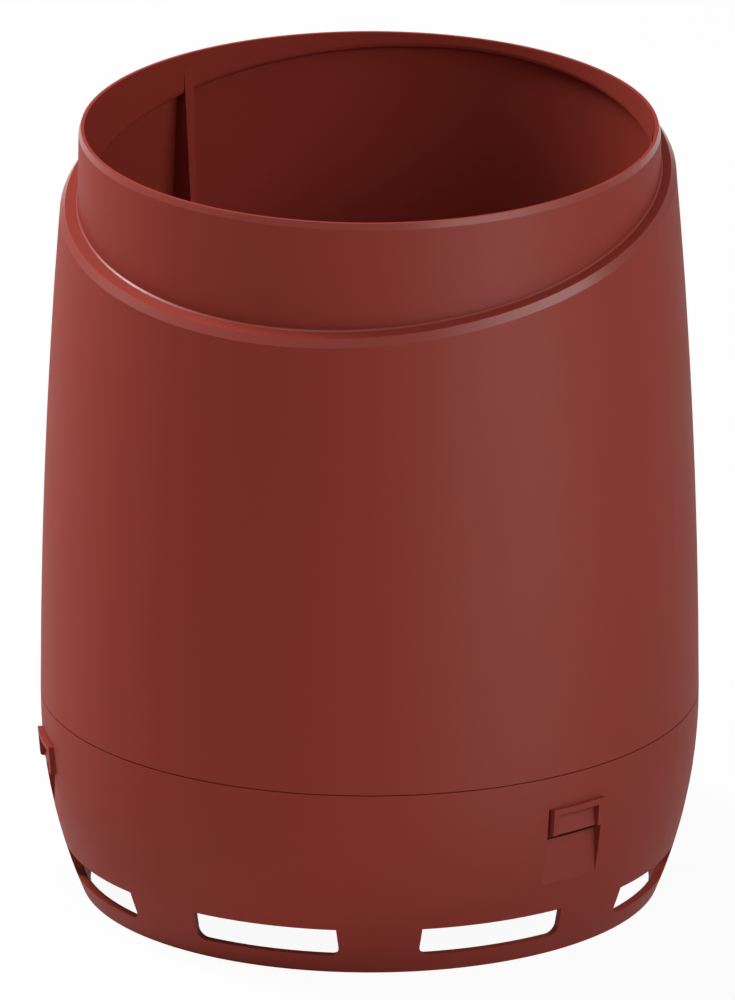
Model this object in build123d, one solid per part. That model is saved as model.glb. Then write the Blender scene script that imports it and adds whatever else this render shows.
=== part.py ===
from build123d import *
import math
import os

os.makedirs("parts", exist_ok=True)

# Roof vent hood made of two plastic mouldings, in millimetres, +Z up, front at -Y.
# The jacket is the tall upper shell, the skirt is the slotted ring that it stands on.

# Heights
total_height = 218.5
seam_height = 55.5

# Radii, from the mouth outward
mouth_radius = 78.6
rim_wall = 0.95
collar_wall = 1.5
ledge_width = 3.2
barrel_bulge = 7.2
skirt_taper = 11.2

# Walls
jacket_wall = 2.5
skirt_wall = 2.4

# Tilted shoulder, low at the front and high at the back
shoulder_height = 202.0
shoulder_tilt = 10.7
ledge_wall = 2.7
inner_corner_radius = 1.8
inner_corner_turns = [90, 60, 30, 0]
bevel_width = 1.3
bevel_drop = 2.05

# Collar above the shoulder
collar_draft = 1.0
lead_in_height = 1.8
collar_root_chamfer = 0.4
collar_root_overlap = 0.5
mouth_length = 2.0
mouth_draft = 0.5

# Upright ribs inside the jacket
rib_angles = [0, 120, 240]
rib_width = 3.25
rib_draft = 0.8
rib_lean = 3.2
rib_start_depth = 4.3
rib_foot_height = 150.0

# Lap joint at the seam
lap_clearance = 0.15
spigot_wall = 1.8
spigot_height = 8.0
spigot_lead_in = 0.6
spigot_root = 3.0
spigot_root_slope = 4.0
seam_bevel = 0.15
seam_gap_height = 0.2
seam_gap_depth = 0.8

# Air slots in the skirt
slot_count = 8
slot_width = 41.9
slot_bottom = 5.5
slot_top = 13.95
slot_corner_radius = 2.9

# Catch frames on the skirt, each above its notch, with a narrow relief beside and under the frame
catch_angles = [60, 180, 300]
catch_left = 9.6
catch_right = 9.3
catch_top = 46.1
catch_bottom = 38.05
catch_proud = 1.35
catch_bite = 1.0
catch_bar_height = 1.75
catch_left_wall = 1.55
catch_right_wall = 2.3
catch_corner_radius = 0.8
ramp_sunk = 1.1
ramp_proud = 0.2
notch_depth = 2.6
relief_width = 0.9
relief_height = 1.9
relief_depth = 1.2
backing_wall = 1.4

# Each radius stands off the one inside it.
rim_radius = mouth_radius + rim_wall
collar_radius = mouth_radius + collar_wall
widest_radius = collar_radius + ledge_width + barrel_bulge

# Both sides are arcs that stand upright at the seam, the widest level.
barrel_rise = total_height - seam_height
barrel_arc = (barrel_rise**2 + barrel_bulge**2) / (2 * barrel_bulge)
skirt_arc = (seam_height**2 + skirt_taper**2) / (2 * skirt_taper)


def barrel_side(z, inset=0.0):
    """Radius of the jacket's side at a height, moved inward by the inset."""
    reach = barrel_arc - inset
    return widest_radius - barrel_arc + math.sqrt(reach**2 - (z - seam_height) ** 2)


def skirt_side(z, inset=0.0):
    """Radius of the skirt's side at a height, moved inward by the inset."""
    reach = skirt_arc - inset
    return widest_radius - skirt_arc + math.sqrt(reach**2 - (z - seam_height) ** 2)


def side_arc(side, low, high, inset=0.0):
    """The side's arc between two heights, as an edge in the XZ plane."""
    middle = (low + high) / 2
    start = (side(low, inset), 0, low)
    mid = (side(middle, inset), 0, middle)
    end = (side(high, inset), 0, high)
    return ThreePointArc(start, mid, end)


def line_chain(points):
    """A chain of straight edges in the XZ plane through (radius, height) points."""
    return Polyline(*[(r, 0, z) for r, z in points]).edges()


def spin(edges):
    """The solid that a closed chain of edges sweeps round the Z axis."""
    return revolve(make_face(edges), Axis.Z, 360)


# Jacket: the barrel side, cut off by the tilted shoulder plane
tilt = math.radians(shoulder_tilt)
shoulder_normal = (0, -math.sin(tilt), math.cos(tilt))
shoulder_axis = Axis((0, 0, 0), shoulder_normal)


def tilted_plane(offset):
    """The shoulder's plane moved along its normal, with its origin kept on the Z axis."""
    height = shoulder_height + offset / math.cos(tilt)
    return Plane(origin=(0, 0, height), x_dir=(1, 0, 0), z_dir=shoulder_normal)


block = 4 * widest_radius
above_top = total_height + 10
waste = Box(block, block, block, align=(Align.CENTER, Align.CENTER, Align.MIN))

barrel_start = seam_height + seam_bevel
barrel_arc_edge = side_arc(barrel_side, barrel_start, above_top)
barrel_rest = line_chain([
    (barrel_side(above_top), above_top),
    (0, above_top),
    (0, seam_height),
    (widest_radius - seam_bevel, seam_height),
    (barrel_side(barrel_start), barrel_start),
])
barrel = spin([barrel_arc_edge] + barrel_rest) - tilted_plane(0) * waste
ledge = barrel.faces().sort_by(shoulder_axis)[-1]
barrel = chamfer(ledge.edges(), bevel_width, bevel_drop, reference=ledge)

# Collar: drafted outside, with a lead-in bevel under the thin rim
lead_in_start = total_height - lead_in_height
collar_foot = shoulder_height - math.tan(tilt) * widest_radius
collar_flare = math.tan(math.radians(collar_draft))
collar_foot_radius = collar_radius + collar_flare * (lead_in_start - collar_foot)
collar = spin(line_chain([
    (0, collar_foot),
    (collar_foot_radius, collar_foot),
    (collar_radius, lead_in_start),
    (rim_radius, total_height),
    (0, total_height),
    (0, collar_foot),
]))


def tilted_outline(plane, radius, flare):
    """The ellipse in which an upright cone of this radius and flare crosses the tilted plane."""
    shift = flare * math.tan(tilt) * radius / math.cos(tilt)
    return plane * Pos(0, -shift) * Ellipse(radius, radius / math.cos(tilt))


def corner_plug(offset, radius, flare, points):
    """A plug in the corner of a tilted plane and a cone, through points (outward, upward) from that corner."""
    rings = [tilted_outline(tilted_plane(offset + up), radius + out, flare) for out, up in points]
    return loft(rings, ruled=True)


# Collar root: a narrow sloping bead round the ellipse in which the collar meets the ledge
root_radius = collar_radius + collar_flare * (lead_in_start - shoulder_height)
root_reach = collar_root_chamfer + collar_root_overlap
root_points = [(root_reach, -collar_root_overlap), (-collar_root_overlap, root_reach)]
collar_root = corner_plug(0, root_radius, collar_flare, root_points)
outside = barrel + collar + collar_root

# Hollow: the barrel's side and the ledge, moved in by their walls
inner_shoulder = tilted_plane(-ledge_wall)
hollow_start = seam_height - 5
inside_arc = side_arc(barrel_side, hollow_start, above_top, jacket_wall)
inside_rest = line_chain([
    (barrel_side(above_top, jacket_wall), above_top),
    (0, above_top),
    (0, hollow_start),
    (barrel_side(hollow_start, jacket_wall), hollow_start),
])
hollow = spin([inside_arc] + inside_rest) - inner_shoulder * waste

# Mouth: a plain round length at the rim, below which the collar's inside opens out by its draft
mouth_end = total_height - mouth_length
mouth_flare = math.tan(math.radians(mouth_draft))
mouth_foot_radius = mouth_radius + mouth_flare * (mouth_end - seam_height)
mouth = spin(line_chain([
    (0, seam_height),
    (mouth_foot_radius, seam_height),
    (mouth_radius, mouth_end),
    (mouth_radius, above_top),
    (0, above_top),
    (0, seam_height),
]))

# Inner corner: narrow bands round off the edge in which the ledge's underside meets the mouth
corner_points = []
for turn in inner_corner_turns:
    out = inner_corner_radius * (1 - math.cos(math.radians(turn)))
    up = inner_corner_radius * (1 - math.sin(math.radians(turn)))
    corner_points.append(Vector(out, up))
first_run = (corner_points[0] - corner_points[1]) * 0.5
last_run = (corner_points[-1] - corner_points[-2]) * 0.5
corner_points[0] += first_run
corner_points[-1] += last_run
inner_radius = mouth_radius + mouth_flare * (mouth_end - inner_shoulder.origin.Z)
corner = corner_plug(-ledge_wall, inner_radius, mouth_flare, [(p.X, p.Y) for p in corner_points])
hollow = hollow + mouth + corner

# Ribs: upright plates that lean out of the collar's wall, thinner and deeper towards the foot
rib_top = total_height
rib_height = rib_top - rib_foot_height
rib_slope = math.tan(math.radians(rib_lean))
rib_top_half = rib_width / 2
rib_foot_half = rib_top_half - math.tan(math.radians(rib_draft)) * rib_height
rib_front = make_face(Polyline(
    (-rib_top_half, 0, rib_top),
    (rib_top_half, 0, rib_top),
    (rib_foot_half, 0, rib_foot_height),
    (-rib_foot_half, 0, rib_foot_height),
    close=True,
).edges())
rib_reach = widest_radius + 10
rib_top_start = mouth_radius + rib_slope * rib_start_depth
rib_foot_start = rib_top_start - rib_slope * rib_height
rib_side = make_face(Polyline(
    (0, -rib_top_start, rib_top),
    (0, -rib_foot_start, rib_foot_height),
    (0, -rib_reach, rib_foot_height),
    (0, -rib_reach, rib_top),
    close=True,
).edges())
rib = extrude(rib_front, rib_reach, dir=(0, -1, 0)) & extrude(rib_side, rib_width, both=True)
for angle in rib_angles:
    hollow = hollow - Rot(0, 0, angle) * rib

upper_jacket = outside - hollow

# Skirt: curved ring with a spigot that stands up inside the jacket's foot, and a shadow gap under that foot
spigot_outer = widest_radius - jacket_wall - lap_clearance
spigot_inner = spigot_outer - spigot_wall
skirt_end = seam_height - seam_gap_height
gap_radius = widest_radius - seam_gap_depth
root_low = seam_height - spigot_root
slope_low = root_low - spigot_root_slope
spigot_top = seam_height + spigot_height
outer_arc = side_arc(skirt_side, 0, skirt_end)
inner_arc = side_arc(skirt_side, 0, slope_low, skirt_wall)
skirt_rest = line_chain([
    (skirt_side(skirt_end), skirt_end),
    (gap_radius, skirt_end),
    (gap_radius, seam_height),
    (spigot_outer, seam_height),
    (spigot_outer, spigot_top - spigot_lead_in),
    (spigot_outer - spigot_lead_in, spigot_top),
    (spigot_inner, spigot_top),
    (spigot_inner, root_low),
    (skirt_side(slope_low, skirt_wall), slope_low),
])
bottom_rim = line_chain([(skirt_side(0, skirt_wall), 0), (skirt_side(0), 0)])
lower_skirt = spin([outer_arc] + skirt_rest + [inner_arc] + bottom_rim)

# Air slots: straight cuts, each along its own middle direction, with round lower corners
slot_height = slot_top - slot_bottom
slot_shape = Rectangle(slot_width, slot_height)
slot_shape = fillet(slot_shape.vertices().group_by(Axis.Y)[0], slot_corner_radius)
slot_plane = Plane(origin=(0, 0, (slot_top + slot_bottom) / 2), x_dir=(1, 0, 0), z_dir=(0, -1, 0))
slot = extrude(slot_plane * slot_shape, widest_radius + 10)
for number in range(slot_count):
    lower_skirt = lower_skirt - Rot(0, 0, 360 / slot_count * number) * slot


def strip(left, right, low, high):
    """The upright block in front of the axis between two offsets to the side and two heights."""
    middle = ((left + right) / 2, -widest_radius, (low + high) / 2)
    return Pos(*middle) * Box(right - left, widest_radius, high - low)


# Catch frame: a band that stands proud of the skirt, with one lower corner rounded
frame_outer = [
    (skirt_side(catch_bottom) + catch_proud, catch_bottom),
    (skirt_side(catch_top) + catch_proud, catch_top),
]
frame_inner = [
    (skirt_side(catch_top) - catch_bite, catch_top),
    (skirt_side(catch_bottom) - catch_bite, catch_bottom),
]
frame_band = spin(line_chain(frame_outer + frame_inner + frame_outer[:1]))
frame_left = relief_width - catch_left
window_left = frame_left + catch_left_wall
window_right = catch_right - catch_right_wall
left_wall = frame_band & strip(frame_left, window_left, catch_bottom, catch_top)
left_foot = left_wall.edges().group_by(Axis.Z)[0].sort_by(Axis.Y)[0]
left_wall = fillet(left_foot, catch_corner_radius)
frame = left_wall + (frame_band & strip(window_left, catch_right, catch_bottom, catch_top))

# Window in the frame: its back is a ramp that comes out to a sharp lower edge
outside_all = widest_radius + 10
window_top = catch_top - catch_bar_height
window = strip(window_left, window_right, catch_bottom, window_top) & spin(line_chain([
    (skirt_side(catch_bottom) + ramp_proud, catch_bottom),
    (outside_all, catch_bottom),
    (outside_all, window_top),
    (skirt_side(window_top) - ramp_sunk, window_top),
    (skirt_side(catch_bottom) + ramp_proud, catch_bottom),
]))

# Notch under the frame: an upright floor that runs out on the curved skirt further down
notch_floor = skirt_side(catch_bottom) - notch_depth
relief_floor = notch_floor - relief_depth
relief_low = catch_bottom - relief_height
notch = strip(-catch_left, catch_right, slot_top, catch_bottom) & spin(line_chain([
    (notch_floor, slot_top),
    (outside_all, slot_top),
    (outside_all, catch_bottom),
    (relief_floor, catch_bottom),
    (relief_floor, relief_low),
    (notch_floor, relief_low),
    (notch_floor, slot_top),
]))

# Side relief: a narrow groove along the frame's left wall
groove = strip(-catch_left, frame_left, catch_bottom, catch_top) & spin(line_chain([
    (skirt_side(catch_bottom) - relief_depth, catch_bottom),
    (outside_all, catch_bottom),
    (outside_all, catch_top),
    (skirt_side(catch_top) - relief_depth, catch_top),
    (skirt_side(catch_bottom) - relief_depth, catch_bottom),
]))

# Backing inside the skirt that keeps a wall behind the notch and its relief
backing_face = relief_floor - backing_wall
backing_half = catch_left + backing_wall
backing_low = seam_height - math.sqrt(skirt_arc**2 - (notch_floor - widest_radius + skirt_arc) ** 2)
backing = strip(-backing_half, backing_half, backing_low, root_low) & spin(line_chain([
    (backing_face, backing_low),
    (skirt_side(backing_low) - skirt_wall / 2, backing_low),
    (skirt_side(root_low) - skirt_wall / 2, root_low),
    (backing_face, root_low),
    (backing_face, backing_low),
]))

for angle in catch_angles:
    turn = Rot(0, 0, angle)
    lower_skirt = lower_skirt + turn * frame + turn * backing
    lower_skirt = lower_skirt - turn * window - turn * notch - turn * groove

upper_jacket.label = "upper_jacket"
lower_skirt.label = "lower_skirt"
export_step(upper_jacket, "parts/upper_jacket.step")
export_step(lower_skirt, "parts/lower_skirt.step")
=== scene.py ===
import math

import bpy
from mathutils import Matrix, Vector

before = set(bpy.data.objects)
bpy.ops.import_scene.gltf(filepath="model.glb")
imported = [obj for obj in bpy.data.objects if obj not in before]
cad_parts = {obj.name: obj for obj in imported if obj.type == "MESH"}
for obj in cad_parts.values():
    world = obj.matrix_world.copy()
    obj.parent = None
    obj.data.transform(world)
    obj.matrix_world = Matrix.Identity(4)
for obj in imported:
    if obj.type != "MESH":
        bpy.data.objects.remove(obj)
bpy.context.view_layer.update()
scene = bpy.context.scene
scene.view_settings.view_transform = "Standard"


# Lower skirt: the slotted ring that the hood stands on, with small catch frames on its outside.
# It is injection moulded in polypropylene, and its spigot stands up inside the jacket's foot.

def linear(hex_colour):
    """An sRGB hex value as linear red, green, blue and alpha."""
    shares = [int(hex_colour[i:i + 2], 16) / 255 for i in (1, 3, 5)]
    return tuple(s / 12.92 if s <= 0.04045 else ((s + 0.055) / 1.055) ** 2.4 for s in shares) + (1.0,)


def add_node(tree, kind, settings=None, inputs=None, links=None):
    """Adds a node, sets its properties and input values, and links outputs of other nodes to its inputs."""
    node = tree.nodes.new(kind)
    for name, value in (settings or {}).items():
        setattr(node, name, value)
    for name, value in (inputs or {}).items():
        node.inputs[name].default_value = value
    for name, (source, output) in (links or {}).items():
        tree.links.new(source.outputs[output], node.inputs[name])
    return node


# Moulded polypropylene, coloured through with iron-oxide red: a dull skin that takes the mould's fine grain and
# changes a little from place to place, where the melt cooled faster or slower.
PLASTIC_RED = "#883228"
PLASTIC_RED_DULL = "#843127"
PLASTIC_IOR = 1.49
PLASTIC_SHINE = 0.10
LEAST_ROUGHNESS = 0.57
MOST_ROUGHNESS = 0.63
CLOUD_MM = 30.0      # how far apart duller and less dull places lie
GRAIN_MM = 0.9       # drawn coarser than the real grain, about 0.2 mm, which is finer than a pixel of the view
GRAIN_DEPTH_MM = 0.02
GRAIN_STRENGTH = 0.15
red_plastic = bpy.data.materials.new("moulded_polypropylene_oxide_red")
red_plastic.use_nodes = True
tree = red_plastic.node_tree
shader = tree.nodes["Principled BSDF"]
shader.inputs["IOR"].default_value = PLASTIC_IOR
shader.inputs["Specular IOR Level"].default_value = PLASTIC_SHINE
place = add_node(tree, "ShaderNodeTexCoord")
cloud = add_node(
    tree, "ShaderNodeTexNoise", None, {"Scale": 1000 / CLOUD_MM, "Detail": 3.0}, {"Vector": (place, "Object")})
tint = add_node(
    tree, "ShaderNodeMix", {"data_type": "RGBA"},
    {6: linear(PLASTIC_RED_DULL), 7: linear(PLASTIC_RED)}, {0: (cloud, "Fac")})
dullness = add_node(
    tree, "ShaderNodeMapRange", {"name": "dullness"},
    {"From Min": 0.3, "From Max": 0.7, "To Min": LEAST_ROUGHNESS, "To Max": MOST_ROUGHNESS}, {"Value": (cloud, "Fac")})
grain = add_node(
    tree, "ShaderNodeTexNoise", None, {"Scale": 1000 / GRAIN_MM, "Detail": 1.0}, {"Vector": (place, "Object")})
skin = add_node(
    tree, "ShaderNodeBump", None,
    {"Strength": GRAIN_STRENGTH, "Distance": GRAIN_DEPTH_MM / 1000}, {"Height": (grain, "Fac")})
tree.links.new(tint.outputs[2], shader.inputs["Base Color"])
tree.links.new(dullness.outputs["Result"], shader.inputs["Roughness"])
tree.links.new(skin.outputs["Normal"], shader.inputs["Normal"])
lower_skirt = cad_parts["lower_skirt"]
lower_skirt.data.materials.clear()
lower_skirt.data.materials.append(red_plastic)


# Upper jacket: the tall shell above the seam, with a barrel side, a tilted shoulder and a round collar.
# It is one moulding of the same plastic, and its foot goes over the skirt's spigot. Its sloping bands, the bevels
# and the bead round the collar, come from turned and polished parts of the mould and are glossier than its sides.
BAND_SLOPE = 0.46    # the upward share of a sloping band's normal
BAND_SPREAD = 0.3    # how far that share may be off
BAND_ROUGHNESS = 0.3
BAND_SHINE = 0.6
banded_plastic = red_plastic.copy()
banded_plastic.name = "moulded_polypropylene_with_polished_bands"
tree = banded_plastic.node_tree
shader = tree.nodes["Principled BSDF"]
facing = add_node(tree, "ShaderNodeNewGeometry")
slope = add_node(tree, "ShaderNodeSeparateXYZ", None, None, {"Vector": (facing, "True Normal")})
band = add_node(
    tree, "ShaderNodeMath", {"operation": "COMPARE"}, {1: BAND_SLOPE, 2: BAND_SPREAD}, {0: (slope, "Z")})
roughness = add_node(
    tree, "ShaderNodeMix", {"data_type": "FLOAT"},
    {3: BAND_ROUGHNESS}, {0: (band, 0), 2: (tree.nodes["dullness"], "Result")})
shine = add_node(
    tree, "ShaderNodeMapRange", None, {"To Min": PLASTIC_SHINE, "To Max": BAND_SHINE}, {"Value": (band, 0)})
tree.links.new(roughness.outputs[0], shader.inputs["Roughness"])
tree.links.new(shine.outputs["Result"], shader.inputs["Specular IOR Level"])
upper_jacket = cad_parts["upper_jacket"]
upper_jacket.data.materials.clear()
upper_jacket.data.materials.append(banded_plastic)


# Floor: a plain sheet of white paper, on which the hood stands and leaves a soft shadow.
# What looks at it directly or in a gloss sees it mostly as plain white.
PAPER_WHITE = "#DADADA"
WHITE_SHARE = 0.94   # how much of that white it shows, so that the rest keeps the shadow
FLOOR_SIZE = 6.0
bpy.ops.mesh.primitive_plane_add(size=FLOOR_SIZE)
floor = bpy.context.object
floor.name = "floor"
paper = bpy.data.materials.new("white_paper")
paper.use_nodes = True
tree = paper.node_tree
tree.nodes.remove(tree.nodes["Principled BSDF"])
seen = add_node(tree, "ShaderNodeLightPath")
direct = add_node(
    tree, "ShaderNodeMath", {"operation": "MAXIMUM"}, None, {0: (seen, "Is Camera Ray"), 1: (seen, "Is Glossy Ray")})
looked_at = add_node(
    tree, "ShaderNodeMath", {"operation": "MAXIMUM"}, None, {0: (direct, 0), 1: (seen, "Is Transmission Ray")})
share = add_node(tree, "ShaderNodeMath", {"operation": "MULTIPLY"}, {1: WHITE_SHARE}, {0: (looked_at, 0)})
matt = add_node(tree, "ShaderNodeBsdfDiffuse", None, {"Color": linear(PAPER_WHITE)})
glow = add_node(tree, "ShaderNodeEmission", None, {"Color": (1, 1, 1, 1), "Strength": 1.0})
sheet = add_node(tree, "ShaderNodeMixShader", None, None, {0: (share, 0), 1: (matt, 0), 2: (glow, 0)})
tree.links.new(sheet.outputs[0], tree.nodes["Material Output"].inputs["Surface"])
floor.data.materials.append(paper)


# Studio: a dim pale room, a high soft box at the left, a wide one at the right and a weak one overhead.
# A strip low at the right only puts a soft sheen on the side. Angles are from the hood's front towards its right.
ROOM_WHITE = "#FFFFFF"
ROOM_STRENGTH = 0.28
HOOD_MIDDLE = Vector((0, 0, 0.11))
world = bpy.data.worlds.new("pale_room")
scene.world = world
world.use_nodes = True
world.node_tree.nodes["Background"].inputs["Color"].default_value = linear(ROOM_WHITE)
world.node_tree.nodes["Background"].inputs["Strength"].default_value = ROOM_STRENGTH


def soft_box(name, angle, distance, height, width, tall, power):
    """An area lamp at an angle, a distance from the axis and a height, turned to the hood's middle."""
    turn = math.radians(angle)
    stand = Vector((math.sin(turn) * distance, -math.cos(turn) * distance, height))
    lamp = bpy.data.lights.new(name, "AREA")
    lamp.shape = "RECTANGLE"
    lamp.size = width
    lamp.size_y = tall
    lamp.energy = power
    holder = bpy.data.objects.new(name, lamp)
    scene.collection.objects.link(holder)
    holder.location = stand
    holder.visible_camera = False
    holder.rotation_euler = (stand - HOOD_MIDDLE).to_track_quat("Z", "Y").to_euler()
    return holder


soft_box("left_soft_box", -97, 0.9, 1.05, 0.6, 0.6, 20.5)
soft_box("right_soft_box", 74, 1.0, 0.70, 1.05, 0.35, 6.0)
soft_box("overhead_soft_box", -40, 0.3, 1.3, 0.7, 0.7, 3.0)
sheen_strip = soft_box("right_low_strip", 67, 0.5, 0.09, 0.22, 0.17, 2.9)
sheen_strip.visible_diffuse = False


# Camera: a parallel view from the right of the hood's front, looking down on it.
# One pixel of the 735 by 1000 frame is 0.275 mm of the hood.
PIXEL = 0.000275
FRAME_WIDTH = 735
FRAME_HEIGHT = 1000
AXIS_COLUMN = 369.72    # where the hood's axis meets its bottom plane in the frame
BOTTOM_ROW = 876.5
TURN = math.radians(20.705)
LIFT = math.asin(1 / 3)
CAMERA_DISTANCE = 2.0
towards = Vector((
    math.sin(TURN) * math.cos(LIFT),
    -math.cos(TURN) * math.cos(LIFT),
    math.sin(LIFT),
))
rightward = Vector((math.cos(TURN), math.sin(TURN), 0.0))
middle_height = (BOTTOM_ROW - FRAME_HEIGHT / 2) / math.cos(LIFT) * PIXEL
aim = Vector((0.0, 0.0, middle_height)) - rightward * (AXIS_COLUMN - FRAME_WIDTH / 2) * PIXEL
lens = bpy.data.cameras.new("photo_view")
lens.type = "ORTHO"
lens.ortho_scale = FRAME_HEIGHT * PIXEL
lens.clip_end = 10.0
camera = bpy.data.objects.new("photo_view", lens)
scene.collection.objects.link(camera)
camera.location = aim + towards * CAMERA_DISTANCE
camera.rotation_euler = towards.to_track_quat("Z", "Y").to_euler()
scene.camera = camera
